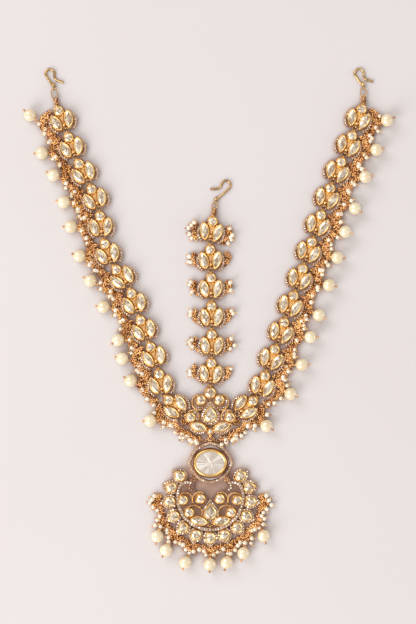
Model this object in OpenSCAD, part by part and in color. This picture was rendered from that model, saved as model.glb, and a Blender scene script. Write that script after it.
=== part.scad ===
// Head ornament of three jewelled chains that meet at a plaque above a crescent pendant.
// It lies flat, face up, on the plane z = 0. The origin is the middle of the plaque's back,
// +Y points along the centre chain and +Z out of the stones' tables. Units are millimetres.

/* [Chains] */
// Turn of each setting of the left chain, hook end first, degrees
left_turns = [21, 19, 28, 22, 6, 19, 38, 18, 21, 20, 10, 46]; // [-60:1:60]
// Turn of each setting of the right chain, hook end first, degrees
right_turns = [-19, -22, -24, -19, -19, -19, -18, -20, -18, -22, -16, -50]; // [-60:1:60]
// Turn of each setting of the centre chain, hook end first, degrees
centre_turns = [-8, 2, 1, 1, 0, -3]; // [-20:1:20]
// Lean of the left, right and centre hangers, degrees
hanger_turns = [11, 0, -7]; // [-30:1:30]
// Turn of the left, right and centre hooks, degrees
hook_turns = [0, 2, -19]; // [-30:1:30]

/* [Settings] */
// Outer radius of a round cup
cup_r = 2.2; // [2.1:0.05:2.3]
// Length of a marquise cup
leaf_len = 8.6; // [8.2:0.1:8.8]
// Width of a marquise cup
leaf_w = 4.2; // [4:0.1:4.3]
// Lean of each marquise cup away from the middle, degrees
leaf_tilt = 13; // [11:1:14]
// Wall of every cup
cup_wall = 0.45; // [0.4:0.05:0.5]
// Thickness of the base plates
plate_h = 1.2; // [1.1:0.05:1.3]
// Height of the cups above the back
cup_top = 2.8; // [2.6:0.1:3]
// Height of the thin rims that hold the tiny stones
rim_top = 1.7; // [1.6:0.1:2]

/* [Rings and pins] */
// Wire radius of rings, ears and tabs
wire_r = 0.25; // [0.22:0.01:0.26]
// Distance between the ears that one jump ring joins
ring_span = 2.4; // [2.3:0.1:2.5]
// Wire radius of the hooks
hook_wire_r = 0.5; // [0.4:0.01:0.55]
// Radius of the hooks' bend
hook_bend_r = 2.2; // [2:0.1:2.5]
// Length of the left, right and centre oval links along their wire's middle
oval_link_lens = [5.2, 4.4, 3.2]; // [3:0.1:5.6]

/* [Stones and pearls] */
// Height of a stone's table above its cup's rim
table_rise = 0.5; // [0.3:0.05:0.7]
// Share of a stone's outline that its table keeps
table_share = 0.62; // [0.5:0.02:0.8]
// Radius of a pearl
pearl_r = 3; // [2.8:0.1:3.1]
// Clearance round each loose piece
gap = 0.1; // [0.1:0.02:0.14]

/* [Pendant] */
// Distance of the oval's middle below the origin
oval_drop = 23.2; // [23:0.1:23.6]
// Distance of the crescent's middle below the origin
crescent_drop = 39.6; // [39.4:0.1:39.9]
// Outer radius of the crescent's band
crescent_r = 16.4; // [16.2:0.1:16.6]
// Width of the crescent's band
band_w = 1.5; // [1.3:0.1:1.6]
// Angle from one petal to the next, degrees
petal_step = 20.8; // [20.4:0.1:21]

/* [Hidden] */
LEFT_SETTINGS = [for (i = [1:12]) str("left_setting_", i)];
RIGHT_SETTINGS = [for (i = [1:12]) str("right_setting_", i)];
CENTRE_SETTINGS = [for (i = [1:6]) str("centre_setting_", i)];

$fn = 48;
LEFT = -1;
RIGHT = 1;
GOLD = "goldenrod";
BEAD_GOLD = "peru";
CLEAR = "gainsboro";
PEARL = "ivory";

link_z = 1.1;
seat_z = 1;
ear_r = 0.8;
ear_top = 2.8;
ear_low = 8.4;
leaf_at = [3.1, -5];
rim_leaf_at = [3.9, -5.3];
rim_leaf_len = 9.6;
rim_leaf_w = 5.4;
rim_leaf_tilt = -3;
rim_wall = 0.35;
joint_ball_r = 0.95;
joint_ball_y = -7.05;
tab_at = [7.2, -4];
tab_r = 0.7;
pin_r = 0.25;
pin_eye_r = 0.7;
pin_eye_wire_r = 0.2;
end_ball_r = 0.6;
bore_r = pin_r + 1.5 * gap;

// Hanger above a chain: jump ring, upright ring and oval link, up to the hook's eye
upright_link_r = 1.4;
upright_link_z = upright_link_r + wire_r;
link_step = 0.55;
oval_link_r = 1.3;
function hanger_len(link_len) = ring_span + 2 * link_step + link_len;

// Hook, measured from its eye: knob, foot of the shank, middle of the bend and the flared tip
hook_z = hook_wire_r;
knob_r = 0.95;
knob_at = [0.1, 1.7, 0.95];
shank_foot = [-0.3, 1.2];
side_bend_at = [-1.7, 7];
centre_bend_at = [-2.25, 9.4];
bend_end = -14;
flare_r = 2.2;
flare_end = 250;
tip_len = 3.2;
wire_short = 0.06;
collar_half = 0.16;
collar_rise = 0.04;

// Ears of the plaque for the side chains, the centre chain and the pendant, and their lean
side_ear_at = [12, -0.5];
side_ear_lean = 58;
left_end = [-side_ear_at.x, side_ear_at.y];
top_ear_at = [0, 13.6];
low_ear_at = [0, -10.1];

// Pearls beside the settings, hook end first: distance outward, distance up the chain
OUT = 0;
UP = 1;
left_pearl_at = [
    [13.5, 3], [14.5, -2.8], [13.3, 1], [14.6, -0.7], [14.4, -3.5], [13.3, -1.3],
    [13, 3.6], [14.7, -1.8], [13.4, -4.8], [14.7, -0.4], [13.9, -0.6], [13.2, -0.5]];
right_pearl_at = [
    [13.2, -1], [13.3, -1.8], [13.4, -1.7], [14.3, -5.2], [13.5, -3.7], [14, -3],
    [14.4, -3.4], [14.5, -4.5], [14.1, -2.5], [14.7, -1.8], [14.1, -4.7], [13.3, -2.6]];

// Rosettes of a bead bunch, measured from its tab: outward, up the chain, radius
ROSETTE_R = 2;
hub_reach = 2.3;
hub_r = 0.95;
bunch_top = 2.2;
bunch_cap = 2.8;
cap_inset = 0.45;
side_rosettes = [[1.8, 1.9, 1.25], [0.8, 3.8, 1.25], [1.8, -1.9, 1.3], [0.8, -3.9, 1.3], [-0.5, -5.6, 1.2]];
short_side_rosettes = [for (i = [0:3]) side_rosettes[i]];
centre_rosettes = [[1.9, 1.6, 1.25], [1.9, -1.7, 1.3], [3.9, 0.3, 1.15]];
pendant_rosettes = [[1.8, 1.9, 1.35], [1.8, -1.9, 1.3]];
bare_pendant_rosettes = [[1.9, 1.6, 1.2], [1.9, -1.7, 1.3], [3.9, 0.3, 1.15]];
junction_rosettes = [[2, 1.9, 1.4], [2.1, -1.8, 1.35], [1.5, -3.8, 1.3], [1, -5.8, 1.35], [0.6, -7.8, 1.2]];
bend_for_short_bunch = 9;

// Parts of the plaque: round cups, scroll rings, teardrop and marquises
top_cup_at = [0, 10.3];
top_cup_r = 2.5;
upper_cup_at = [4.5, 6.9];
upper_scroll_at = [5.1, 5.7];
upper_scroll_r = 3.9;
lower_cup_at = [9.4, -1.4];
lower_scroll_at = [8.3, -0.9];
lower_scroll_r = 3.2;
drop_r = 3;
drop_tip = 4.9;
drop_at = [0, -0.7];
drop_border = 1.5;
plaque_leaf_at = [5.6, -6];
plaque_leaf_turn = 110;
plaque_rim_at = [6, -6.7];
bead_cup_at = [0, -8.2];
bead_cup_r = 1.3;
plaque_ball_z = 2.6;
plaque_ball_r = 0.8;
plaque_tab_at = [7.4, -9.9];
plaque_bunch_turn = 195;

// Parts of the pendant, measured from the oval's and the crescent's middles
oval_half = [7.8, 6.6];
oval_top = 3.8;
oval_wall = 1.1;
lozenge_r = 12.4;
lozenge_shift = [1.5, 2.4];
lozenge_band = 1.3;
lozenge_ear_y = 10.5;
petal_radii = [19.4, 19.4, 19.4, 19.5, 19.5, 19.2, 17.6];
petal_cup_r = 2.4;
petal_tip = 3.3;
petal_plate_r = 3.45;
petal_plate_tip = 4.7;
petal_tab_reach = 5.3;
inner_cups = [[13, -1.4], [4.6, -0.8], [10.1, -7.4]];
scroll_rings = [[11.9, -1.4, 3.7], [5.1, -1.2, 3.7], [7.8, -8, 4.3]];
crescent_drop_at = [0, -7.6];
crescent_drop_border = 1.1;
crescent_leaf_at = [5.4, -11.4];
crescent_leaf_turn = 102;
opening_at = [0, 6.2];
opening_r = 8;
horn_at = [11.05, 2.75];
horn_r = 4.9;
horn_curl = [[0, 0], [8, 2], [8, -8], [-8, -8], [-8, 7.3], [-3.4, 7.3]];
horn_cut = [[-26, 6.47], [-11.05, 2.75], [11.05, 2.75], [26, 6.47], [26, 30], [-26, 30]];
brace_balls = [[7.6, 9.1, 1.4], [8.6, 7.4, 1.3]];
brace_h = 1.9;
pendant_pearl_turns = [-53.5, -39.8, -20.9, -0.4, 14, 30.6, 54.1];
pendant_pearl_radii = [31.5, 33, 33.4, 32.1, 32.2, 31.2, 31.6];

// Geometry shared by all pieces
function dir(turn) = [-sin(turn), cos(turn)];
function spin(v, turn) = [v.x * cos(turn) - v.y * sin(turn), v.x * sin(turn) + v.y * cos(turn)];
function arc_r(len, w) = (len * len + w * w) / (4 * w);

// Middles of a chain's settings as [x, y, turn], walked from the plaque's ear to the hook end
function chain(turns, ear, lean, i) =
    i < 0 ? [] :
    let (low = ear + ring_span * dir((lean + turns[i]) / 2),
         mid = low + ear_low * dir(turns[i]))
    concat(chain(turns, mid + ear_top * dir(turns[i]), turns[i], i - 1), [[mid.x, mid.y, turns[i]]]);

left_chain = chain(left_turns, left_end, side_ear_lean, 11);
right_chain = chain(right_turns, side_ear_at, -side_ear_lean, 11);
centre_chain = chain(centre_turns, top_ear_at, 0, 5);

function on_chain(place, local) = [place.x, place.y] + spin(local, place.z);
function upper_ear(place) = on_chain(place, [0, ear_top]);
function lower_ear(place) = on_chain(place, [0, -ear_low]);

// Outlines as points, for cut stones and pointed cups
function ring_points(r, n) = [for (i = [0:n - 1]) r * [cos(360 * (i + 0.5) / n), sin(360 * (i + 0.5) / n)]];
function oval_points(half, n) = [for (i = [0:n - 1]) [half.x * cos(360 * i / n), half.y * sin(360 * i / n)]];
function drop_points(r, tip, n) =
    let (side = acos(r / tip))
    concat([[0, tip]], [for (i = [0:n]) r * dir(side + i * (360 - 2 * side) / n)]);
function leaf_points(len, w, n) =
    let (r = arc_r(len, w), half = asin(len / 2 / r))
    let (right = [for (i = [0:n - 1]) let (a = half * (2 * i / n - 1)) [r * cos(a) - r + w / 2, r * sin(a)]])
    concat(right, -right);

module put(place) {
    translate([place.x, place.y, 0]) rotate([0, 0, place.z]) children();
}

module both_sides() {
    children();
    mirror([1, 0, 0]) children();
}

// Flat ring in the plane of the chains
module flat_ring(r, wire = wire_r, z = link_z) {
    translate([0, 0, z]) rotate_extrude() translate([r, 0]) circle(r = wire, $fn = 24);
}

// Upright ring whose hole looks across the chain
module upright_ring(r, wire = wire_r, z = link_z) {
    translate([0, 0, z]) rotate([0, 90, 0]) rotate_extrude() translate([r, 0]) circle(r = wire, $fn = 24);
}

module leaf(len, w) {
    r = arc_r(len, w);
    intersection() {
        translate([r - w / 2, 0]) circle(r = r, $fn = 96);
        translate([w / 2 - r, 0]) circle(r = r, $fn = 96);
    }
}

module drop(r, tip, n = 16) {
    polygon(drop_points(r, tip, n));
}

// Teardrop of the two large drop cups, at the given radius of its round end
module large_drop(r) {
    drop(r, r * drop_tip / drop_r);
}

// Leaf whose outline lies the given distance inside that of a marquise cup
module leaf_inside(inset) {
    r = arc_r(leaf_len, leaf_w) - inset;
    half_w = leaf_w / 2 - inset;
    leaf(2 * sqrt(r * r - (r - half_w) * (r - half_w)), 2 * half_w);
}

// Cut stone with a girdle, a ring of crown facets and a flat table
module cut_stone(points, z0, girdle_top, table_z, share = table_share) {
    n = len(points);
    polyhedron(
        points = concat([for (p = points) [p.x, p.y, z0]], [for (p = points) [p.x, p.y, girdle_top]],
                        [for (p = points) [p.x * share, p.y * share, table_z]]),
        faces = concat([[for (i = [0:n - 1]) i]], [[for (i = [n - 1:-1:0]) 2 * n + i]],
                       [for (row = [0, n], i = [0:n - 1])
                           [row + i, row + n + i, row + n + (i + 1) % n, row + (i + 1) % n]]));
}

module stone_in(points, top = cup_top) {
    color(CLEAR) cut_stone(points, seat_z + gap, top - gap, top + table_rise);
}

module round_stone(r) {
    stone_in(ring_points(r - cup_wall - gap, 8));
}

module leaf_stone() {
    r = arc_r(leaf_len, leaf_w) - cup_wall - gap;
    half_w = leaf_w / 2 - cup_wall - gap;
    stone_in(leaf_points(2 * sqrt(r * r - (r - half_w) * (r - half_w)), 2 * half_w, 5));
}

module drop_stone(r, tip, n = 8) {
    share = (r - cup_wall - 1.5 * gap) / r;
    stone_in(drop_points(r * share, tip * share, n));
}

// Solid block of a cup and the seat that is cut into it
module block(top = cup_top) {
    linear_extrude(top) children();
}

module seat(top = cup_top) {
    translate([0, 0, seat_z]) linear_extrude(top) children();
}

module rim() {
    linear_extrude(rim_top) difference() {
        children(0);
        children(1);
    }
}

module leaf_place(side) {
    translate([side * leaf_at.x, leaf_at.y, 0]) rotate([0, 0, -side * leaf_tilt]) children();
}

module rim_leaf_place(side) {
    translate([side * rim_leaf_at.x, rim_leaf_at.y, 0]) rotate([0, 0, -side * rim_leaf_tilt]) children();
}

// One setting of a chain: a round cup above two marquise cups, with ears and bunch tabs
module setting(tab_sides) {
    color(GOLD) difference() {
        union() {
            linear_extrude(plate_h) {
                circle(r = cup_r - 0.2);
                polygon([[-1.9, 0], [1.9, 0], [1.4, -7.2], [-1.4, -7.2]]);
            }
            for (side = [LEFT, RIGHT]) {
                rim_leaf_place(side) {
                    linear_extrude(plate_h) leaf(rim_leaf_len, rim_leaf_w);
                    rim() {
                        leaf(rim_leaf_len, rim_leaf_w);
                        leaf(rim_leaf_len - 4 * rim_wall, rim_leaf_w - 2 * rim_wall);
                    }
                }
                leaf_place(side) block() leaf(leaf_len, leaf_w);
            }
            translate([0, 0, plate_h]) cylinder(r = cup_r, h = cup_top - plate_h);
            translate([0, joint_ball_y, 1.6]) sphere(r = joint_ball_r);
            translate([0, ear_top, 0]) upright_ring(ear_r);
            translate([0, -ear_low, 0]) upright_ring(ear_r);
            for (side = tab_sides) translate([side * tab_at.x, tab_at.y, 0]) flat_ring(tab_r);
        }
        seat() circle(r = cup_r - cup_wall);
        for (side = [LEFT, RIGHT]) leaf_place(side) seat() leaf_inside(cup_wall);
    }
}

module setting_stones() {
    round_stone(cup_r);
    for (side = [LEFT, RIGHT]) leaf_place(side) leaf_stone();
}

module chain_stones(places) {
    for (place = places) put(place) setting_stones();
}

// Jump rings from each setting of a chain to the next, and from the last one to the plaque
module chain_rings(places, end_ear) {
    n = len(places);
    for (i = [0:n - 1]) {
        next = i < n - 1 ? upper_ear(places[i + 1]) : end_ear;
        mid = (lower_ear(places[i]) + next) / 2;
        translate(mid) flat_ring(ring_span / 2);
    }
}

// Hanger above a chain: a jump ring, an upright ring, an oval link and then the hook's eye
module hanger(place, turn, link_len) {
    ear = upper_ear(place);
    put([ear.x, ear.y, turn]) {
        translate([0, ring_span / 2, 0]) flat_ring(ring_span / 2);
        translate([0, ring_span + link_step, 0]) upright_ring(upright_link_r, z = upright_link_z);
        translate([0, ring_span + 2 * link_step + link_len / 2, link_z]) oval_link(link_len);
    }
}

module oval_link(link_len) {
    straight = link_len - 2 * oval_link_r;
    for (end = [0, 180]) rotate([0, 0, end]) {
        translate([0, straight / 2, 0]) rotate_extrude(angle = 180) translate([oval_link_r, 0])
            circle(r = wire_r, $fn = 24);
        translate([oval_link_r, -straight / 2, 0]) rotate([-90, 0, 0]) cylinder(r = wire_r, h = straight);
    }
}

module links(places, end_ear, k) {
    color(BEAD_GOLD) {
        chain_rings(places, end_ear);
        hanger(places[0], hanger_turns[k], oval_link_lens[k]);
    }
}

// Hook of bent wire: eye, knob, straight shank, round bend and a tip that flares out. Its lengths
// stop short of each other inside a low collar that joins them.
module wire_arc(at, r, from, to) {
    short = wire_short / r * 180 / PI;
    translate([at.x, at.y, hook_z]) rotate([0, 0, from + short])
        rotate_extrude(angle = to - from - 2 * short) translate([r, 0]) circle(r = hook_wire_r);
}

module wire_line(at, turn, from, to, wide = 0) {
    translate([at.x, at.y, hook_z]) rotate([0, 0, turn]) rotate([-90, 0, 0])
        translate([0, 0, from]) cylinder(r = hook_wire_r + wide, h = to - from);
}

module wire_collar(at, r, turn) {
    wire_line(at + r * [cos(turn), sin(turn)], turn, -collar_half, collar_half, collar_rise);
}

module hook(bend_at) {
    run = bend_at - shank_foot;
    reach = norm(run);
    shank_turn = atan2(-run.x, run.y) + asin(hook_bend_r / reach);
    flare_at = bend_at + (hook_bend_r + flare_r) * [cos(bend_end), sin(bend_end)];
    tip_at = flare_at + flare_r * [cos(flare_end), sin(flare_end)];
    color(GOLD) {
        upright_ring(ear_r);
        translate(knob_at) sphere(r = knob_r);
        wire_line(shank_foot, shank_turn, 0, sqrt(reach * reach - hook_bend_r * hook_bend_r) - wire_short);
        wire_arc(bend_at, hook_bend_r, bend_end, 180 + shank_turn);
        wire_arc(flare_at, flare_r, 180 + bend_end, flare_end);
        wire_line(tip_at, flare_end, wire_short, tip_len);
        wire_collar(bend_at, hook_bend_r, 180 + shank_turn);
        wire_collar(bend_at, hook_bend_r, bend_end);
        wire_collar(flare_at, flare_r, flare_end);
    }
}

module hook_on(place, k) {
    eye = upper_ear(place) + hanger_len(oval_link_lens[k]) * dir(hanger_turns[k]);
    put([eye.x, eye.y, hook_turns[k]]) children();
}

// Bead bunches and pearls. A wire leads outward from an eye in the tab to the bunch's hub, and
// from the hub's middle a pin slopes up through the drilled pearl to a small end ball.
function high(v, z) = [v.x, v.y, z];
function hub(tab, out_turn) = high(tab + hub_reach * dir(out_turn), link_z);
function pin_len(tab, out_turn, pearl) = norm(high(pearl, pearl_r) - hub(tab, out_turn));

module along_pin(tab, out_turn, pearl) {
    run = high(pearl, pearl_r) - hub(tab, out_turn);
    translate(hub(tab, out_turn)) rotate([0, 0, atan2(-run.x, run.y)])
        rotate([asin(run.z / norm(run)), 0, 0]) children();
}

module rosettes(side, rows, inset) {
    translate([0, hub_reach]) circle(r = hub_r - inset);
    for (row = rows) translate([-side * row[UP], row[OUT]]) circle(r = row[ROSETTE_R] - inset);
}

module bunch(tab, out_turn, side, rows) {
    put([tab.x, tab.y, out_turn]) {
        translate([0, pin_eye_r, 0]) upright_ring(pin_eye_r, wire = pin_eye_wire_r);
        translate([0, 2 * pin_eye_r, link_z]) rotate([-90, 0, 0])
            cylinder(r = pin_r, h = hub_reach - 2 * pin_eye_r);
        translate([0, 0, gap]) linear_extrude(bunch_top - gap) rosettes(side, rows, 0);
        translate([0, 0, bunch_top]) linear_extrude(bunch_cap - bunch_top) rosettes(side, rows, cap_inset);
    }
}

module head_pin(tab, out_turn, pearl) {
    length = pin_len(tab, out_turn, pearl) + pearl_r + end_ball_r + gap;
    along_pin(tab, out_turn, pearl) {
        rotate([-90, 0, 0]) cylinder(r = pin_r, h = length);
        translate([0, length, 0]) sphere(r = end_ball_r);
    }
}

module pearl(tab, out_turn, pearl) {
    reach = pin_len(tab, out_turn, pearl);
    color(PEARL) along_pin(tab, out_turn, pearl) translate([0, reach, 0]) difference() {
        sphere(r = pearl_r);
        rotate([90, 0, 0]) cylinder(r = bore_r, h = 3 * pearl_r, center = true);
    }
}

function chain_tab(place, side) = on_chain(place, [side * tab_at.x, tab_at.y]);
function chain_pearl(place, side, row) = on_chain(place, [side * row[OUT], row[UP]]);

// A bunch is shorter where the chain bends towards it
function rows_for(places, i, side) =
    i < len(places) - 1 && side * (places[i + 1].z - places[i].z) > bend_for_short_bunch
        ? short_side_rosettes : side_rosettes;

function out_turn(place, side) = place.z - 90 * side;

module chain_bunches(places, side, pearl_rows) {
    color(BEAD_GOLD) for (i = [0:len(places) - 1]) {
        tab = chain_tab(places[i], side);
        turn = out_turn(places[i], side);
        bunch(tab, turn, side, rows_for(places, i, side));
        head_pin(tab, turn, chain_pearl(places[i], side, pearl_rows[i]));
    }
}

module chain_pearls(places, side, pearl_rows) {
    for (i = [0:len(places) - 1])
        pearl(chain_tab(places[i], side), out_turn(places[i], side),
              chain_pearl(places[i], side, pearl_rows[i]));
}

// Plaque where the three chains meet
module scroll(r) {
    linear_extrude(plate_h) circle(r = r);
    rim() {
        circle(r = r);
        circle(r = r - 2 * rim_wall);
    }
}

module plaque_leaf_place() {
    translate([plaque_leaf_at.x, plaque_leaf_at.y, 0]) rotate([0, 0, plaque_leaf_turn]) children();
}

module junction_setting() {
    color(GOLD) difference() {
        union() {
            linear_extrude(plate_h) {
                translate(top_cup_at) circle(r = top_cup_r + 0.1);
                translate(drop_at) large_drop(drop_r + drop_border);
                translate([-2.6, 3]) square([5.2, 6]);
                translate([-9.4, -4.2]) square([18.8, 4.4]);
                translate(bead_cup_at) circle(r = bead_cup_r + 0.1);
            }
            translate(drop_at) rim() {
                large_drop(drop_r + drop_border);
                large_drop(drop_r + drop_border - rim_wall);
            }
            translate(drop_at) block() large_drop(drop_r);
            translate(top_cup_at) block() circle(r = top_cup_r);
            translate(bead_cup_at) block(2.2) circle(r = bead_cup_r);
            translate([low_ear_at.x, low_ear_at.y, plaque_ball_z]) sphere(r = plaque_ball_r);
            translate(top_ear_at) upright_ring(ear_r);
            translate(low_ear_at) upright_ring(ear_r);
            both_sides() {
                translate(upper_scroll_at) scroll(upper_scroll_r);
                translate(lower_scroll_at) scroll(lower_scroll_r);
                translate(upper_cup_at) block() circle(r = cup_r);
                translate(lower_cup_at) block() circle(r = cup_r);
                translate(plaque_rim_at) rotate([0, 0, plaque_leaf_turn]) {
                    linear_extrude(plate_h) leaf(rim_leaf_len + 0.4, rim_leaf_w);
                    rim() {
                        leaf(rim_leaf_len + 0.4, rim_leaf_w);
                        leaf(rim_leaf_len + 0.4 - 4 * rim_wall, rim_leaf_w - 2 * rim_wall);
                    }
                }
                plaque_leaf_place() block() leaf(leaf_len, leaf_w);
                translate(side_ear_at) rotate([0, 0, -side_ear_lean]) upright_ring(ear_r);
                translate(plaque_tab_at) flat_ring(tab_r);
            }
        }
        translate(drop_at) seat() large_drop(drop_r - cup_wall);
        translate(top_cup_at) seat() circle(r = top_cup_r - cup_wall);
        both_sides() {
            translate(upper_cup_at) seat() circle(r = cup_r - cup_wall);
            translate(lower_cup_at) seat() circle(r = cup_r - cup_wall);
            plaque_leaf_place() seat() leaf_inside(cup_wall);
        }
    }
}

module junction_stones() {
    translate(drop_at) drop_stone(drop_r, drop_tip, 10);
    translate(top_cup_at) round_stone(top_cup_r);
    both_sides() {
        translate(upper_cup_at) round_stone(cup_r);
        translate(lower_cup_at) round_stone(cup_r);
        plaque_leaf_place() leaf_stone();
    }
}

module junction_bunches() {
    color(BEAD_GOLD) both_sides() {
        bunch(plaque_tab_at, plaque_bunch_turn, LEFT, junction_rosettes);
    }
}

// Pendant: oval cup in a rounded lozenge, and a crescent with petals below it
oval_at = [0, -oval_drop];
crescent_at = [0, -crescent_drop];

module lozenge(inset) {
    intersection_for (sx = [-1, 1], sy = [-1, 1])
        translate([sx * lozenge_shift.x, sy * lozenge_shift.y]) circle(r = lozenge_r - inset, $fn = 96);
}

module oval(inset) {
    polygon(oval_points([oval_half.x - inset, oval_half.y - inset], 36));
}

module petal_place(i) {
    turn = 180 + i * petal_step;
    r = petal_radii[abs(i)];
    translate(crescent_at + r * dir(turn)) rotate([0, 0, turn]) children();
}

function petal_tab(i) = crescent_at + (petal_radii[abs(i)] + petal_tab_reach) * dir(180 + i * petal_step);

module crescent_shape() {
    difference() {
        circle(r = crescent_r, $fn = 96);
        translate(opening_at) circle(r = opening_r);
        polygon(horn_cut);
    }
    difference() {
        both_sides() translate(horn_at) circle(r = horn_r);
        translate(opening_at) circle(r = opening_r);
    }
}

module crescent_band() {
    difference() {
        circle(r = crescent_r, $fn = 96);
        circle(r = crescent_r - band_w, $fn = 96);
        polygon(horn_cut);
    }
    both_sides() translate(horn_at) difference() {
        circle(r = horn_r);
        circle(r = horn_r - band_w + 0.2);
        polygon(horn_curl);
    }
}

module crescent_leaf_place() {
    translate([crescent_leaf_at.x, crescent_leaf_at.y, 0]) rotate([0, 0, crescent_leaf_turn]) children();
}

// Teardrop of a petal's cup or plate at a given distance inside its outline
module petal_cup(inset) {
    drop(petal_cup_r - inset, petal_tip * (petal_cup_r - inset) / petal_cup_r, 12);
}

module petal_plate(inset) {
    drop(petal_plate_r - inset, petal_plate_tip * (petal_plate_r - inset) / petal_plate_r);
}

module pendant_setting() {
    color(GOLD) difference() {
        union() {
            translate(oval_at) {
                linear_extrude(plate_h) lozenge(0);
                linear_extrude(2.2) difference() {
                    lozenge(0);
                    lozenge(lozenge_band);
                }
                block(oval_top) oval(0);
                translate([0, lozenge_ear_y, 0]) upright_ring(ear_r);
            }
            translate(crescent_at) {
                linear_extrude(plate_h) crescent_shape();
                linear_extrude(2) crescent_band();
                translate(crescent_drop_at) linear_extrude(rim_top)
                    large_drop(drop_r + crescent_drop_border);
                translate(crescent_drop_at) block() large_drop(drop_r);
                both_sides() {
                    for (cup = inner_cups) translate(cup) block() circle(r = cup_r);
                    for (ring = scroll_rings) translate([ring.x, ring.y]) intersection() {
                        scroll(ring.z);
                        translate(-[ring.x, ring.y]) linear_extrude(9) circle(r = crescent_r - 0.3);
                    }
                    crescent_leaf_place() block() leaf(leaf_len, leaf_w);
                    for (ball = brace_balls) translate([ball.x, ball.y]) cylinder(r = ball.z, h = brace_h);
                }
            }
            for (i = [-6:6]) petal_place(i) {
                linear_extrude(plate_h) petal_plate(0);
                rim() {
                    petal_plate(0);
                    petal_plate(rim_wall);
                }
                block() petal_cup(0);
            }
            for (i = [-4:4]) translate(petal_tab(i)) flat_ring(tab_r);
        }
        translate(oval_at) seat() oval(oval_wall);
        translate(crescent_at) {
            translate(crescent_drop_at) seat() large_drop(drop_r - cup_wall);
            both_sides() {
                for (cup = inner_cups) translate(cup) seat() circle(r = cup_r - cup_wall);
                crescent_leaf_place() seat() leaf_inside(cup_wall);
            }
        }
        for (i = [-6:6]) petal_place(i) seat() petal_cup(cup_wall);
    }
}

module pendant_stones() {
    translate(crescent_at) {
        translate(crescent_drop_at) drop_stone(drop_r, drop_tip, 10);
        both_sides() {
            for (cup = inner_cups) translate(cup) round_stone(cup_r);
            crescent_leaf_place() leaf_stone();
        }
    }
    for (i = [-6:6]) petal_place(i) drop_stone(petal_cup_r, petal_tip);
}

module oval_stone() {
    inset = oval_wall + 1.5 * gap;
    color(CLEAR) translate(oval_at)
        cut_stone(oval_points([oval_half.x - inset, oval_half.y - inset], 24),
                  seat_z + gap, oval_top - 0.3, oval_top + 0.9, 0.5);
}

module pendant_link() {
    mid = (low_ear_at + oval_at + [0, lozenge_ear_y]) / 2;
    color(BEAD_GOLD) translate(mid) flat_ring(ring_span / 2);
}

function pendant_pearl(k) = crescent_at + pendant_pearl_radii[k] * dir(180 + pendant_pearl_turns[k]);

module pendant_bunches() {
    color(BEAD_GOLD) {
        for (k = [0:6]) {
            turn = 180 + (k - 3) * petal_step;
            bunch(petal_tab(k - 3), turn, RIGHT, pendant_rosettes);
            head_pin(petal_tab(k - 3), turn, pendant_pearl(k));
        }
        for (i = [-4, 4]) bunch(petal_tab(i), 180 + i * petal_step, RIGHT, bare_pendant_rosettes);
    }
}

module pendant_pearls() {
    for (k = [0:6]) pearl(petal_tab(k - 3), 180 + (k - 3) * petal_step, pendant_pearl(k));
}

module centre_bunches() {
    color(BEAD_GOLD) for (place = centre_chain, side = [LEFT, RIGHT])
        bunch(chain_tab(place, side), out_turn(place, side), side, centre_rosettes);
}

for (i = [0:11]) {
    put(left_chain[i]) setting([LEFT]);
    put(right_chain[i]) setting([RIGHT]);
}
for (i = [0:5]) {
    put(centre_chain[i]) setting([LEFT, RIGHT]);
}
junction_setting();
pendant_setting();
oval_stone();
chain_stones(left_chain);  // left_stones
chain_stones(right_chain);  // right_stones
chain_stones(centre_chain);  // centre_stones
junction_stones();
pendant_stones();
hook_on(left_chain[0], 0) hook(side_bend_at);  // left_hook
hook_on(right_chain[0], 1) hook(side_bend_at);  // right_hook
hook_on(centre_chain[0], 2) mirror([1, 0, 0]) hook(centre_bend_at);  // centre_hook
links(left_chain, left_end, 0);  // left_links
links(right_chain, side_ear_at, 1);  // right_links
links(centre_chain, top_ear_at, 2);  // centre_links
pendant_link();
chain_pearls(left_chain, LEFT, left_pearl_at);  // left_pearls
chain_pearls(right_chain, RIGHT, right_pearl_at);  // right_pearls
pendant_pearls();
chain_bunches(left_chain, LEFT, left_pearl_at);  // left_bunches
chain_bunches(right_chain, RIGHT, right_pearl_at);  // right_bunches
centre_bunches();
junction_bunches();
pendant_bunches();
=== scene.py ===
import math
import random

import bpy
import mathutils
import numpy as np
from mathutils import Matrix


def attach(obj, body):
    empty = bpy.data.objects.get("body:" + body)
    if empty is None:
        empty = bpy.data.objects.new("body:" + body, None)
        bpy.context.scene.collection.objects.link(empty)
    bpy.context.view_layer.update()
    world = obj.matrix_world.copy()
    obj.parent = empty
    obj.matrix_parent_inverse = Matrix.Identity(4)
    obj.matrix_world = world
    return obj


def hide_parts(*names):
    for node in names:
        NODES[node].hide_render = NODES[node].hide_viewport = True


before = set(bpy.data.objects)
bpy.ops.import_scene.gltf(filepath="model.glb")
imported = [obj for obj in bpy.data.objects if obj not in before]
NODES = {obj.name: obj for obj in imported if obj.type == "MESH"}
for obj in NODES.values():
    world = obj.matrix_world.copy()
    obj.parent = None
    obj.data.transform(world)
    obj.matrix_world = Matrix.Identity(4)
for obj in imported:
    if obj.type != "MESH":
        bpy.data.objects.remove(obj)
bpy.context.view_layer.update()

# Lengths are millimetres until a mesh is made, and metres for the lights. Turns are degrees.
MM = 0.001
TAU = 2 * math.pi
LEFT, RIGHT = -1, 1

# Cups, stones and plates, as in the solids
CUP_R = 2.2
CUP_TOP = 2.8
PLATE_H = 1.2
LEAF = (8.6, 4.2)
DROP = (3.0, 4.9)
STONE_GIRDLE = -0.48
STONE_LOW = 2.83

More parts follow.
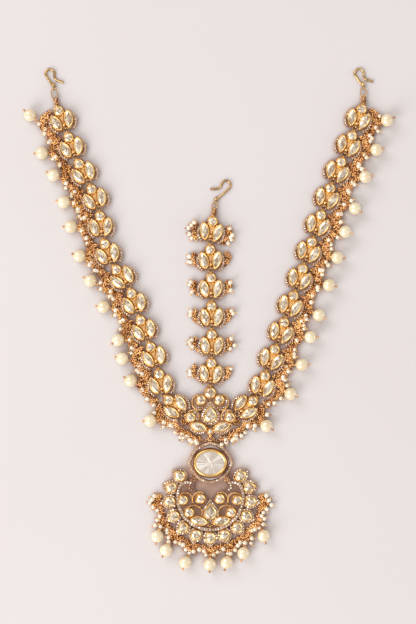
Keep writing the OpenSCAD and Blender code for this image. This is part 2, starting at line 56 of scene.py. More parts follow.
# A setting of the chains
LEAF_AT = (3.1, -5.0)
LEAF_TILT = 13
RIM_LEAF = (9.6, 5.4)
RIM_LEAF_AT = (3.9, -5.3)
RIM_LEAF_TILT = -3
JOINT_BALL_Y = -7.05
TAB_AT = (7.2, -4.0)

# Bunches and pearls
HUB_REACH = 2.3
LINK_Z = 1.1
PEARL_R = 3.0
END_BALL_R = 0.6
PIN_R = 0.25

# Plaque
TOP_CUP_AT = (0.0, 10.3)
TOP_CUP_R = 2.5
UPPER_CUP_AT = (4.5, 6.9)
LOWER_CUP_AT = (9.4, -1.4)
# Scrolls: middle, radius, and the turns at which they start and stop
PLAQUE_SCROLLS = ((5.1, 5.7, 3.9, -100, 75), (8.3, -0.9, 3.2, 45, 215))
DROP_AT = (0.0, -0.7)
PLAQUE_DROP = (4.5, 7.35)
PLAQUE_LEAF_TURN = 110
PLAQUE_LEAF_AT = (5.6, -6.0, PLAQUE_LEAF_TURN)
PLAQUE_RIM = (10.0, 5.4)
PLAQUE_RIM_AT = (6.0, -6.7, PLAQUE_LEAF_TURN)
BEAD_CUP_AT = (0.0, -8.2)
BEAD_CUP_R = 1.3
PLAQUE_TAB_AT = (7.4, -9.9)
PLAQUE_BUNCH_TURN = 195
SIDE_KNOT_AT = (12.3, -3.4)

# Pendant, from the oval down
OVAL_AT = (0.0, -23.2)
OVAL_HALF = (7.8, 6.6)
OVAL_TOP = 3.8
LOZENGE_R = 12.4
LOZENGE_SHIFT = (1.5, 2.4)
CRESCENT_AT = (0.0, -39.6)
CRESCENT_R = 16.4
BAND_W = 1.5
BAND_FROM = -90.5
HORN_AT = (11.05, 2.75)
HORN_R = 4.9
HORN_BAND = 1.3
HORN_FROM, HORN_TO = 14, 115
INNER_CUPS = ((13.0, -1.4), (4.6, -0.8), (10.1, -7.4))
CRESCENT_SCROLLS = ((11.9, -1.4, 3.7, 5, 195), (5.1, -1.2, 3.7, -25, 118), (7.8, -8.0, 4.3, 25, 205))
SCROLL_LIMIT = 15.0
HORN_CURL = ((9.1, 6.7), (9.9, 5.6), (9.9, 4.3), (9.0, 3.5))
HORN_KNOT = ((8.9, 7.4), (8.1, 8.0), (7.5, 8.9), (8.4, 8.9), (7.1, 8.1), (7.9, 9.7), (6.8, 9.3), (9.2, 8.3))
CRESCENT_DROP_AT = (0.0, -7.6)
CRESCENT_DROP_R = 4.1
CRESCENT_LEAF_AT = (5.4, -11.4, 102)
PETAL_CUP = (2.4, 3.3)
PETAL_PLATE = (3.45, 4.7)
PETAL_STEP = 20.8
PETAL_RADII = (19.4, 19.4, 19.4, 19.5, 19.5, 19.2, 17.6)
PETAL_TAB_REACH = 5.3
PENDANT_PEARL_TURNS = (-53.5, -39.8, -20.9, -0.4, 14.0, 30.6, 54.1)
PENDANT_PEARL_RADII = (31.5, 33.0, 33.4, 32.1, 32.2, 31.2, 31.6)


# Frames on the plane are (x, y, turn)


def turned(x, y, turn):
    c, s = math.cos(math.radians(turn)), math.sin(math.radians(turn))
    return x * c - y * s, x * s + y * c


def on(place, x, y):
    """A point given in the frame of a place."""
    dx, dy = turned(x, y, place[2])
    return place[0] + dx, place[1] + dy


def matrix(x, y, turn=0, flip=False):
    """Puts a part at a frame on the plane, mirrored in x if flip."""
    c, s = math.cos(math.radians(turn)), math.sin(math.radians(turn))
    f = -1 if flip else 1
    return np.array([[c * f, -s, 0, x], [s * f, c, 0, y], [0, 0, 1, 0], [0, 0, 0, 1.0]])


def shift(at):
    """A part moved to a point, unturned."""
    m = np.eye(4)
    m[:3, 3] = at
    return m


def spin_matrix(rng, at, size=1.0, tilt=0.35):
    """A part at a point, turned at random about the upright axis and tipped a little."""
    a, b, c = rng.uniform(0, TAU), rng.uniform(-tilt, tilt), rng.uniform(-tilt, tilt)
    rz = np.array([[math.cos(a), -math.sin(a), 0], [math.sin(a), math.cos(a), 0], [0, 0, 1]])
    rx = np.array([[1, 0, 0], [0, math.cos(b), -math.sin(b)], [0, math.sin(b), math.cos(b)]])
    ry = np.array([[math.cos(c), 0, math.sin(c)], [0, 1, 0], [-math.sin(c), 0, math.cos(c)]])
    m = shift(at)
    m[:3, :3] = rx @ ry @ rz * size
    return m


# Materials


def feed(tree, target, inputs):
    """Gives the inputs of a node plain values, or links them to outputs of other nodes."""
    for name, value in inputs.items():
        if isinstance(value, bpy.types.NodeSocket):
            tree.links.new(value, target.inputs[name])
        else:
            target.inputs[name].default_value = value


def node(tree, kind, output, inputs=None, **settings):
    """Makes a node and gives one of its outputs."""
    made = tree.nodes.new("ShaderNode" + kind)
    for name, value in settings.items():
        setattr(made, name, value)
    feed(tree, made, inputs or {})
    return made.outputs[output]


def material(name, base, metallic=0.0, roughness=0.4, coat=0.0, coat_roughness=0.05, ior=1.5):
    mat = bpy.data.materials.new(name)
    mat.use_nodes = True
    shader = mat.node_tree.nodes["Principled BSDF"]
    feed(mat.node_tree, shader, {"Base Color": (*base, 1), "Metallic": metallic, "Roughness": roughness,
                                 "Coat Weight": coat, "Coat Roughness": coat_roughness, "IOR": ior})
    return mat, mat.node_tree, shader


def noise(tree, scale, detail=3.0):
    """Cloudy value fixed to the object; at scale 1000 its grain is about a millimetre."""
    values = {"Vector": node(tree, "TexCoord", "Object"), "Scale": scale, "Detail": detail,
              "Roughness": 0.55}
    return node(tree, "TexNoise", "Fac", values)


def ramp(tree, source, stops):
    """Colour that follows a value through (value, colour) stops."""
    made = tree.nodes.new("ShaderNodeValToRGB")
    feed(tree, made, {"Fac": source})
    elements = made.color_ramp.elements
    while len(elements) < len(stops):
        elements.new(0.5)
    for element, (at, colour) in zip(elements, stops):
        element.position = at
        element.color = (*colour, 1)
    return made.outputs["Color"]


def bump(tree, height, strength, distance):
    return node(tree, "Bump", "Normal", {"Height": height, "Strength": strength, "Distance": distance})


def mix(tree, factor, a, b):
    return node(tree, "Mix", "Result", {"Factor": factor, "A": a, "B": b}, data_type="RGBA")


def spread(tree, source, low, high, start=0.0, end=1.0):
    """Carries a value from the range start to end over to the range low to high."""
    values = {"Value": source, "From Min": start, "From Max": end, "To Min": low, "To Max": high}
    return node(tree, "MapRange", "Result", values)


def metal(name, dark, light, roughness, dents=0.12):
    """Plated metal whose colour drifts and whose surface has fine dents."""
    mat, tree, shader = material(name, light, metallic=1.0)
    fine = noise(tree, scale=900.0, detail=4.0)
    feed(tree, shader, {"Base Color": ramp(tree, noise(tree, scale=260.0), [(0.32, dark), (0.62, light)]),
                        "Roughness": spread(tree, fine, roughness - 0.07, roughness + 0.12),
                        "Normal": bump(tree, fine, strength=dents, distance=0.00012)})
    return mat


def layered_metal(name, plate, rim, split=1.76):
    """Metal of a soldered frame: antique on the low plates, bright gold above them."""
    mat, tree, shader = material(name, rim, metallic=1.0)
    height = node(tree, "SeparateXYZ", "Z", {"Vector": node(tree, "TexCoord", "Object")})
    above = node(tree, "Math", "Value", {0: height, 1: split * MM}, operation="GREATER_THAN")
    worn = tuple(c * 0.7 for c in plate)
    low = ramp(tree, noise(tree, scale=420.0), [(0.35, worn), (0.65, plate)])
    feed(tree, shader, {"Base Color": mix(tree, above, low, (*rim, 1)),
                        "Roughness": spread(tree, above, low=0.5, high=0.24),
                        "Normal": bump(tree, noise(tree, scale=1300.0), strength=0.25, distance=0.00015)})
    return mat


def foil_stone(name, low, high, roughness=0.14, coat=1.0):
    """Cut glass on pale foil under a clear hard coat; each facet has its own shade, a painted reflection.
    """
    mat, tree, shader = material(name, high, 0.55, roughness, coat, coat_roughness=0.02)
    shade = node(tree, "Attribute", "Fac", attribute_name="facet")
    cloud = noise(tree, scale=500.0)
    total = node(tree, "Math", "Value", {0: cloud, 1: 0.35, 2: shade}, operation="MULTIPLY_ADD")
    half = tuple((a + b) / 2 for a, b in zip(low, high))
    feed(tree, shader, {"Base Color": ramp(tree, total, [(0.15, low), (0.7, half), (1.0, high)]),
                        "Normal": bump(tree, cloud, strength=0.05, distance=0.0001)})
    return mat


def pearl_material(name, low, high, roughness):
    mat, tree, shader = material(name, high, roughness=roughness, coat=1.0, coat_roughness=0.08, ior=1.6)
    cloud = noise(tree, scale=130.0, detail=2.0)
    feed(tree, shader, {"Coat IOR": 2.4, "Base Color": ramp(tree, cloud, [(0.3, low), (0.7, high)]),
                        "Normal": bump(tree, noise(tree, scale=1500.0), strength=0.03, distance=0.0001)})
    return mat


GOLD = metal("polished_gold", (0.84, 0.43, 0.10), (1.0, 0.72, 0.32), 0.2)
HOOK_GOLD = metal("antique_brass", (0.38, 0.22, 0.08), (0.76, 0.52, 0.25), 0.22)
COPPER = metal("antique_gold_beads", (0.46, 0.19, 0.07), (0.98, 0.60, 0.31), 0.2)
ROPE = metal("antique_rope", (0.46, 0.24, 0.12), (0.88, 0.62, 0.40), 0.3)
DARK_BEAD = metal("dark_red_beads", (0.15, 0.045, 0.012), (0.40, 0.15, 0.05), 0.35)
GROUND = metal("antique_ground", (0.32, 0.17, 0.10), (0.52, 0.35, 0.26), 0.5, dents=0.3)
FRAME = layered_metal("setting_metal", (0.48, 0.29, 0.20), (0.92, 0.58, 0.23))
PENDANT_FRAME = layered_metal("pendant_metal", (0.40, 0.235, 0.17), (0.92, 0.58, 0.23), split=2.0)
LIGHT_GROUND = metal("pale_ground", (0.66, 0.58, 0.57), (0.84, 0.78, 0.77), 0.5, dents=0.3)
BEIGE_GROUND = metal("beige_ground", (0.50, 0.35, 0.25), (0.80, 0.66, 0.53), 0.4, dents=0.3)
LINKS = metal("link_metal", (0.44, 0.24, 0.10), (0.78, 0.52, 0.26), 0.3)
CLEAR = foil_stone("foil_backed_glass", (0.35, 0.21, 0.11), (1.0, 0.89, 0.71))
LARGE = foil_stone("large_foil_backed_stone", (0.62, 0.52, 0.44), (1.0, 0.95, 0.88), 0.28, 0.5)
TINY = foil_stone("tiny_white_stones", (0.46, 0.38, 0.32), (0.98, 0.93, 0.87))
PEARL = pearl_material("ivory_pearl", (0.86, 0.68, 0.40), (0.95, 0.84, 0.57), 0.32)
SEED_PEARL = pearl_material("seed_pearl", (0.86, 0.71, 0.50), (0.97, 0.89, 0.72), 0.3)


# Meshes


def add_object(name, data):
    thing = bpy.data.objects.new(name, data)
    bpy.context.scene.collection.objects.link(thing)
    return thing


class Build:
    """Gathers the parts of one piece, in millimetres, each with its material."""

    def __init__(self):
        self.points, self.faces, self.slots, self.shades, self.smooth = [], [], [], [], []
        self.materials, self.count = [], 0

    def index(self, mat):
        if mat not in self.materials:
            self.materials.append(mat)
        return self.materials.index(mat)

    def gather(self, points, faces, place):
        """Takes in a mesh at a place; a mirrored place turns its faces round."""
        flip = False
        if place is not None:
            points = points @ place[:3, :3].T + place[:3, 3]
            flip = np.linalg.det(place[:3, :3]) < 0
        self.points.append(points)
        self.faces += [[i + self.count for i in (face[::-1] if flip else face)] for face in faces]
        self.count += len(points)

    def add(self, part, mat, place=None, smooth=True, shades=None):
        points, faces = part
        self.gather(np.asarray(points, float), faces, place)
        self.slots += [self.index(mat)] * len(faces)
        self.smooth += [smooth] * len(faces)
        self.shades += shades or [0.5] * len(faces)

    def join(self, other, place):
        """Takes in everything that another build has gathered."""
        self.gather(np.vstack(other.points), other.faces, place)
        slots = [self.index(mat) for mat in other.materials]
        self.slots += [slots[k] for k in other.slots]
        self.smooth += other.smooth
        self.shades += other.shades

    def mesh(self, name):
        mesh = bpy.data.meshes.new(name)
        mesh.from_pydata((np.vstack(self.points) * MM).tolist(), [], self.faces)
        for mat in self.materials:
            mesh.materials.append(mat)
        mesh.polygons.foreach_set("material_index", self.slots)
        mesh.polygons.foreach_set("use_smooth", self.smooth)
        # each face's shade, read by the stone materials as a painted reflection
        mesh.attributes.new("facet", "FLOAT", "FACE").data.foreach_set("value", self.shades)
        mesh.update()
        return mesh

    def piece(self, name, slot, *nodes):
        """Puts the mesh in the scene, in place of the solids of the nodes."""
        piece = add_object(name, self.mesh(name))
        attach(piece, "root")
        if nodes:
            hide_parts(*nodes)


def level_ring(r, z, n, start=0.0):
    """Corners of a level ring; start is a share of the step between them."""
    return [(r * math.cos(TAU * (i + start) / n), r * math.sin(TAU * (i + start) / n), z) for i in range(n)]


def band_faces(a, b, n, closed=True):
    """Faces between two rows of n points, which start at a and at b."""
    return [[a + i, a + (i + 1) % n, b + (i + 1) % n, b + i] for i in range(n if closed else n - 1)]


def ball(r, around=8, up=5):
    points = [(0, 0, -r)]
    for j in range(1, up):
        points += level_ring(r * math.sin(math.pi * j / up), -r * math.cos(math.pi * j / up), around)
    points.append((0, 0, r))
    faces = [[0, 1 + (i + 1) % around, 1 + i] for i in range(around)]
    for j in range(up - 2):
        faces += band_faces(1 + j * around, 1 + (j + 1) * around, around)
    last, a = len(points) - 1, 1 + (up - 2) * around
    faces += [[last, a + i, a + (i + 1) % around] for i in range(around)]
    return np.array(points), faces


def gem(r, height, table, around):
    """Tiny stone: a girdle, a crown and a flat table."""
    points = level_ring(r, 0, around, 0.5) + level_ring(r * table, height, around, 0.5)
    faces = band_faces(0, around, around)
    faces.append([around + i for i in range(around)])
    return np.array(points), faces


def wire(start, end, r, around=5):
    """Straight round wire with flat ends."""
    start, end = np.array(start), np.array(end)
    run = end - start
    run /= np.linalg.norm(run)
    side = np.cross(run, (0, 0, 1.0))
    if np.linalg.norm(side) < 0.05:
        side = np.array((1.0, 0, 0))
    side /= np.linalg.norm(side)
    up = np.cross(side, run)
    points = [at + r * (math.cos(TAU * k / around) * side + math.sin(TAU * k / around) * up)
              for at in (start, end) for k in range(around)]
    ends = [list(range(around))[::-1], list(range(around, 2 * around))]
    return np.array(points), band_faces(0, around, around) + ends


# Outlines are functions: from a distance outwards to the corners of the shape


def oval_outline(half, n=48):
    turns = [TAU * i / n for i in range(n)]
    return lambda d: np.array([((half[0] + d) * math.cos(a), (half[1] + d) * math.sin(a)) for a in turns])


def circle_outline(r, n=24):
    return oval_outline((r, r), n)


LEAF_STEPS = 12
RIGHT_ARC, LEFT_ARC = slice(0, LEAF_STEPS + 1), slice(LEAF_STEPS, None)


def leaf_outline(size, n=LEAF_STEPS):
    """Marquise of two arcs with n steps each, the right one first."""
    length, width = size
    r = (length * length + width * width) / (4 * width)
    middle_x = r - width / 2

    def outline(d):
        half = math.acos(middle_x / (r + d))
        right = [((r + d) * math.cos(a) - middle_x, (r + d) * math.sin(a))
                 for a in (half * (2 * i / n - 1) for i in range(n))]
        return np.array(right + [(-x, -y) for x, y in right])

    return outline


def drop_outline(r, tip, n=22):
    """Teardrop: an arc about the origin and a tip above it."""
    side = math.acos(r / tip)

    def outline(d):
        share = (r + d) / r
        around = [side + i * (TAU - 2 * side) / n for i in range(n + 1)]
        points = [(0, tip)] + [(-r * math.sin(a), r * math.cos(a)) for a in around]
        return np.array(points) * share

    return outline


def lozenge(d, n=96):
    """Outline of a rounded lozenge: the overlap of four circles, walked by direction."""
    points = []
    for i in range(n):
        u = np.array((math.cos(TAU * i / n), math.sin(TAU * i / n)))
        reach = []
        for sx in (-1, 1):
            for sy in (-1, 1):
                c = np.array((sx, sy)) * np.array(LOZENGE_SHIFT)
                b = u @ c
                reach.append(b + math.sqrt(b * b - c @ c + (LOZENGE_R + d) ** 2))
        points.append(u * min(reach))
    return np.array(points)


def sweep(outline, profile, closed=True, cap=False):
    """Skin of an outline carried through (offset, height) rows, first row outermost."""
    rows = [outline(d) for d, _ in profile]
    n = len(rows[0])
    points = np.vstack([np.column_stack([row, np.full(n, z)]) for row, (_, z) in zip(rows, profile)])
    faces = []
    for j in range(len(profile) - 1):
        faces += band_faces(j * n, (j + 1) * n, n, closed)
    if cap:
        faces.append([(len(profile) - 1) * n + i for i in range(n)])
    return points, faces


def strip(points, profile):
    """Skin of a strip that follows an open line, its profile as (sideways, height) rows."""
    points = np.asarray(points, float)
    t = np.gradient(points, axis=0)
    t /= np.linalg.norm(t, axis=1)[:, None]
    side = np.column_stack([t[:, 1], -t[:, 0]])
    return sweep(lambda d: points + side * d, profile, closed=False)


def spaced(points, step, closed=True, skip_ends=0.0):
    """Points at equal steps along a line, about as far apart as step says."""
    points = np.asarray(points, float)
    if closed:
        points = np.vstack([points, points[:1]])
    legs = np.linalg.norm(np.diff(points, axis=0), axis=1)
    along = np.concatenate([[0], np.cumsum(legs)])
    total = along[-1] - 2 * skip_ends
    n = max(1, round(total / step))
    at = skip_ends + np.arange(n if closed else n + 1) * total / n
    return np.column_stack([np.interp(at, along, points[:, k]) for k in (0, 1)]).tolist()


def arc_points(x, y, r, start, stop, n=40):
    return [(x + r * math.cos(math.radians(start + (stop - start) * i / n)),
             y + r * math.sin(math.radians(start + (stop - start) * i / n))) for i in range(n + 1)]


# Small parts that repeat

GRANULE_R = 0.3
GEM_R = 0.44
SEED = ball(0.5)
GRANULE = ball(GRANULE_R, around=6, up=4)
SMALL_PEARL = ball(1.0, around=12, up=8)
GEM = gem(GEM_R, height=0.3, table=0.55, around=6)
WIRE_EDGE = [(0.26, 0.0), (0.22, 0.28), (0, 0.4), (-0.22, 0.28), (-0.26, 0.0)]
# Radians from one bead of a round cluster to the next
GOLDEN_ANGLE = 2.39996
COLLAR, NARROW_COLLAR = 0.52, 0.46


def wire_edge(build, points, mat, z, wide):
    """Half-round wire soldered along a line."""
    build.add(strip(points, [(d * wide, z + h) for d, h in WIRE_EDGE]), mat)


def granules(build, points, mat, r, z):
    part = (GRANULE[0] * (r / GRANULE_R), GRANULE[1])
    for x, y in points:
        build.add(part, mat, shift((x, y, z)))


def gems(build, points, rng, r, z, mat=TINY):
    for x, y in points:
        m = spin_matrix(rng, (x, y, z), size=r / GEM_R, tilt=0.5)
        # one painted reflection shade for the whole gem
        build.add(GEM, mat, m, smooth=False, shades=[rng.uniform(0.1, 0.9)] * len(GEM[1]))


def knot(build, x, y, rng, count=10, step=0.36, low=1.3, mats=(COPPER, ROPE, DARK_BEAD)):
    """Round cluster of granules."""
    for k in range(count):
        a, reach = k * GOLDEN_ANGLE, step * math.sqrt(k + 1)
        spot = (x + reach * math.cos(a), y + reach * math.sin(a))
        granules(build, [spot], mats[k % len(mats)], rng.uniform(0.34, 0.46), rng.uniform(low, low + 0.4))


def cup_rim(build, outline, place=None, top=CUP_TOP, collar=COLLAR):
    """Thin gold rim of a cup, and the round wire at its foot."""
    rim = [(0.1, PLATE_H), (0.12, top - 0.5), (0.14, top - 0.12), (0.06, top + 0.1), (-0.1, top + 0.21),
           (-0.28, top + 0.21), (-0.45, top + 0.1), (-0.53, top - 0.02)]
    foot = [(collar, PLATE_H), (collar + 0.03, PLATE_H + 0.25), (collar - 0.08, PLATE_H + 0.45),
            (collar - 0.22, PLATE_H + 0.45), (collar - 0.3, PLATE_H + 0.2)]
    build.add(sweep(outline, rim), GOLD, place)
    build.add(sweep(outline, foot), COPPER, place)


# Cut stones: height of the ridge on the table, how far the table lies below it, how far it leans
STONE_TOP, HIGH_STONE_TOP = 3.25, 3.28
TABLE_DROP = 0.12
RIDGE_LEAN = 0.12
# Reach of the ridge from the middle, as a share of the table's length
LEAF_RIDGE, DROP_RIDGE, PETAL_RIDGE = 0.22, 0.12, 0.08
# Painted reflections: most facets are bright, and some are dark as if they looked down into the dark
DARK_REFLECTION_SHARE = 0.34
DARK_REFLECTIONS, BRIGHT_REFLECTIONS = (0.0, 0.3), (0.4, 0.88)


def facet_stone(outline, top, rng, table=0.6, ridge=0.0):
    """Cut stone: crown facets round a table that is cut into long shallow facets."""
    edge = outline(STONE_GIRDLE)
    n = len(edge)
    mid = edge.mean(axis=0)
    inner = mid + (edge - mid) * table
    points = [(*p, STONE_LOW) for p in edge] + [(*p, top - TABLE_DROP) for p in inner]
    span = inner[:, 1].max() - inner[:, 1].min()
    lean = rng.uniform(-RIDGE_LEAN, RIDGE_LEAN)
    points += [(mid[0] + lean, mid[1] + span * ridge, top), (mid[0] - lean, mid[1] - span * ridge, top)]
    faces = []
    for i in range(n):
        j = (i + 1) % n
        faces.append([i, j, n + j, n + i])
        near = 2 * n if (inner[i][1] + inner[j][1]) / 2 > mid[1] else 2 * n + 1
        faces.append([n + i, n + j, near])
        other = 2 * n if inner[j][1] + inner[(j + 1) % n][1] > 2 * mid[1] else 2 * n + 1
        if other != near:
            faces.append([n + j, other, near])
    # painted reflections: a random bright or dark shade for each facet
    shades = [rng.uniform(*(DARK_REFLECTIONS if rng.random() < DARK_REFLECTION_SHARE else BRIGHT_REFLECTIONS)) for _ in faces]
    return (np.array(points), faces), shades


def set_stone(build, stone, place):
    part, shades = stone
    build.add(part, CLEAR, place, smooth=False, shades=shades)


def mirrored_stones(centre, cups, leaf, turn, step):
    """Place, outline and ridge of the round stones and the leaf on both sides."""
    stones = []
    for side in (LEFT, RIGHT):
        half = centre @ matrix(0, 0, flip=side < 0)
        for k, cup in enumerate(cups):
            stones.append((half @ matrix(*cup, turn + step * k), circle_outline(CUP_R, 10), 0))
        stones.append((half @ matrix(*leaf), leaf_outline(LEAF, 6), LEAF_RIDGE))
    return stones


# Places read from the solids

LONGEST_ROUND_STONE = 4


def islands(name):
    """Points of each loose solid of a node, in millimetres."""
    mesh = NODES[name].data
    co = np.empty(len(mesh.vertices) * 3)
    mesh.vertices.foreach_get("co", co)
    co = co.reshape(-1, 3) / MM
    _, same = np.unique(np.round(co, 3), axis=0, return_inverse=True)
    same = same.ravel()
    root = list(range(same.max() + 1))

    def find(i):
        while root[i] != i:
            root[i] = root[root[i]]
            i = root[i]
        return i

    for edge in mesh.edges:
        a, b = find(same[edge.vertices[0]]), find(same[edge.vertices[1]])
        if a != b:
            root[a] = b
    groups = {}
    for i, s in enumerate(same):
        groups.setdefault(find(s), []).append(i)
    return [co[group] for group in groups.values()]


def middle(points):
    return (points.min(axis=0) + points.max(axis=0)) / 2


def middles(name):
    return [tuple(float(c) for c in middle(points)) for points in islands(name)]


def nearest(spots, point):
    return min(spots, key=lambda s: math.dist(s[:2], point[:2]))


def chain_places(name):
    """Frame of each setting of a chain, from its round stone and its two marquise stones."""
    stones = [(middle(p), np.ptp(p[:, :2], axis=0).max()) for p in islands(name)]
    rounds = [m for m, reach in stones if reach < LONGEST_ROUND_STONE]
    leaves = [m for m, reach in stones if reach >= LONGEST_ROUND_STONE]
    places = []
    for m in rounds:
        near = sorted(leaves, key=lambda leaf: float(np.hypot(*(leaf - m)[:2])))[:2]
        up = m - (near[0] + near[1]) / 2
        places.append((float(m[0]), float(m[1]), math.degrees(math.atan2(-up[0], up[1]))))
    return sorted(places, key=lambda p: -p[1])


CHAINS = {side: chain_places(side + "_stones") for side in ("left", "right", "centre")}


# Settings of the chains

SETTING_RIM = [(0.06, PLATE_H), (0.08, 1.7), (0, 1.92), (-0.15, 2.0), (-0.3, 1.9), (-0.36, 1.6)]
SETTING_BED = [(0.35, 1.4), (0, 1.45), (-0.5, 1.4)]
# Gold wedge between the marquise cups: half width and y, at its top and at its foot
WEDGE_TOP, WEDGE_FOOT = (1.15, -2.5), (0.06, -6.2)
WEDGE_PROFILE = [(0.2, 1.4), (0.1, 2.1), (-0.3, 2.3)]
CLAWS = ((2.3, -1.7), (1.1, -2.5))
STONE_SEEDS = {"left": 4, "right": 5, "centre": 6}


def leaf_place(side):
    return matrix(side * LEAF_AT[0], LEAF_AT[1], -side * LEAF_TILT)


def wedge(d):
    half, top = WEDGE_TOP
    return np.array([(0, WEDGE_FOOT[1] - d), (half + d, top + d), (-half - d, top + d)])


def setting_detail():
    """Gold rims, tiny stones, claws and granules of one setting, in its own frame."""
    rng = random.Random(3)
    build = Build()
    cup_rim(build, circle_outline(CUP_R))
    rim = leaf_outline(RIM_LEAF)
    for side in (LEFT, RIGHT):
        cup_rim(build, leaf_outline(LEAF), leaf_place(side), collar=NARROW_COLLAR)
        place = matrix(side * RIM_LEAF_AT[0], RIM_LEAF_AT[1], -side * RIM_LEAF_TILT, flip=side < 0)
        build.add(sweep(rim, SETTING_RIM), GROUND, place)
        band = Build()
        band.add(strip(rim(-0.6)[RIGHT_ARC], SETTING_BED), DARK_BEAD)
        gems(band, spaced(rim(-0.5)[RIGHT_ARC], 1.2, closed=False, skip_ends=0.3), rng, r=0.5, z=1.85)
        granules(band, spaced(rim(0.02)[RIGHT_ARC], 1.2, closed=False, skip_ends=0.3), ROPE, r=0.42, z=1.9)
        build.join(band, place)
        granules(build, [(side * x, y) for x, y in CLAWS], GOLD, r=0.45, z=2.3)
        wire_edge(build, [(side * x, y) for x, y in (WEDGE_TOP, WEDGE_FOOT)], COPPER, z=2.1, wide=0.8)
    build.add(sweep(wedge, WEDGE_PROFILE, cap=True), GOLD, smooth=False)
    granules(build, [(0, -3.0), (0, -3.9), (0, -4.8)], COPPER, r=0.32, z=2.3)
    knot(build, 0, JOINT_BALL_Y - 0.35, rng, count=11, step=0.4, low=1.9)
    return build.mesh("setting_detail")


def chain_settings(chain, places, detail):
    for i, (x, y, turn) in enumerate(places):
        piece = add_object(f"{chain}_setting_{i + 1}_rims", detail)
        piece.location = (x * MM, y * MM, 0)
        piece.rotation_euler = (0, 0, math.radians(turn))
        bpy.context.view_layer.update()
        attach(piece, "root")


def chain_stones(chain, places):
    rng = random.Random(STONE_SEEDS[chain])
    build = Build()
    for place in places:
        here = matrix(*place)
        stone = facet_stone(circle_outline(CUP_R, 10), STONE_TOP, rng, table=0.62)
        set_stone(build, stone, here @ matrix(0, 0, rng.uniform(0, 90)))
        for side in (LEFT, RIGHT):
            stone = facet_stone(leaf_outline(LEAF, 6), HIGH_STONE_TOP, rng, ridge=LEAF_RIDGE)
            set_stone(build, stone, here @ leaf_place(side))
    build.piece(chain + "_cut_stones", "clear_stone", chain + "_stones")


setting_mesh = setting_detail()
for chain, places in CHAINS.items():
    chain_settings(chain, places, setting_mesh)
for chain, places in CHAINS.items():
    chain_stones(chain, places)


# Bead bunches, seed pearls and pearls

# A dome of seed beads: its foot, how deep the beads sink into it, the lowest bead
DOME_Z, DOME_SINK, LOWEST_BEAD = 0.95, 0.35, 0.52
# A draw below the first of these makes a bead gold, and above the second dark
GOLD_BELOW, DARK_ABOVE = 0.28, 0.94
TWIG_R = 0.12


def rosette(build, place, out, up, r, rng, beads):
    """Small dome of seed beads round a point of a bunch's frame."""
    for k in range(beads):
        lift = (k + 0.5) / beads
        ring = r * math.sqrt(1 - lift * lift)
        a = k * GOLDEN_ANGLE + rng.uniform(-0.25, 0.25)
        x, y = on(place, up + ring * math.cos(a), out + ring * math.sin(a))
        size = rng.uniform(0.86, 1.16)
        tone = rng.random()
        mat = GOLD if tone < GOLD_BELOW else DARK_BEAD if tone > DARK_ABOVE else COPPER
        z = max(LOWEST_BEAD, DOME_Z + lift * r - DOME_SINK)
        build.add(SEED, mat, spin_matrix(rng, (x, y, z), size))


def rosettes(build, place, clusters, side, rng):
    """Domes of one bunch; side says which way is up."""
    for out, up, r, beads in clusters:
        rosette(build, place, out, side * up, r, rng, beads)


def seed_pearl(seeds, beads, place, start, out, up, rng, tip=True, keep_off=None):
    """Seed pearl on a wire from a point of its bunch, with a bead at the outer end if tip."""
    r = rng.uniform(0.9, 1.2)
    z = rng.uniform(1.2, 2.3)
    x, y = on(place, up, out)
    if keep_off is not None and math.dist((x, y, z), keep_off) < PEARL_R + r:
        return
    seeds.add(SMALL_PEARL, SEED_PEARL, spin_matrix(rng, (x, y, z), r))
    sx, sy = on(place, start[1], start[0])
    run = np.array((x - sx, y - sy, z - LINK_Z))
    run /= np.linalg.norm(run)
    end = np.array((x, y, z)) + run * (r + 0.45)
    beads.add(wire((sx, sy, LINK_Z), end, TWIG_R), COPPER)
    if tip:
        mat = GOLD if rng.random() < 0.5 else COPPER
        beads.add(SEED, mat, spin_matrix(rng, (end[0], end[1], max(0.5, end[2])), 0.95))


def drilled_pearl():
    """Pearl with a dimple at each end of its bore, along z."""
    points, faces = ball(PEARL_R, around=32, up=22)
    points[0][2] += 0.3
    points[-1][2] -= 0.3
    return points, faces


DRILLED_PEARL = drilled_pearl()


def round_pearl(pearls, beads, hub, at, rng):
    """Large pearl on its pin, from the bunch's hub out to the end bead."""
    hub, at = np.array(hub), np.array(at)
    run = (at - hub) / np.linalg.norm(at - hub)
    end = at + run * (PEARL_R + END_BALL_R + 0.1)
    beads.add(wire(hub, end, PIN_R), COPPER)
    beads.add(ball(END_BALL_R, around=10, up=7), COPPER, spin_matrix(rng, end))
    for reach, size in ((PEARL_R + 0.25, 0.62), (PEARL_R - 0.02, 0.5)):
        beads.add(ball(size), COPPER, spin_matrix(rng, at - run * reach))
    side = np.cross(run, (0, 0, 1.0))
    side /= np.linalg.norm(side)
    m = shift(at)
    m[:3, 0], m[:3, 1], m[:3, 2] = side, np.cross(side, run), -run
    pearls.add(DRILLED_PEARL, PEARL, m)


# Rows of bead clusters: outward from the tab, up the chain, radius, beads
SIDE_CLUSTERS = ((1.8, 1.9, 1.5, 17), (1.8, -1.9, 1.5, 17), (2.9, 0.0, 1.2, 11), (0.8, 3.8, 1.35, 14),
                 (0.8, -3.9, 1.45, 15), (-0.5, -5.7, 1.25, 11), (-0.5, 1.3, 1.1, 8), (-0.7, -1.6, 1.1, 8),
                 (-1.1, 4.6, 1.15, 9), (-1.5, 2.9, 1.0, 7), (-2.7, 5.2, 0.9, 6))
BRIDGE_CLUSTERS = ((0.2, 0.6, 1.3, 12), (0.5, -1.2, 1.2, 10), (-1.3, 0.1, 1.1, 8))
CENTRE_CLUSTERS = ((1.5, 0.3, 1.35, 13), (0.7, 1.9, 1.0, 8), (0.7, -2.0, 1.1, 9), (-0.9, -3.4, 0.8, 5))
FIRST_CLUSTERS = ((0.9, -3.6, 1.4, 13), (-0.6, -4.9, 1.2, 9))
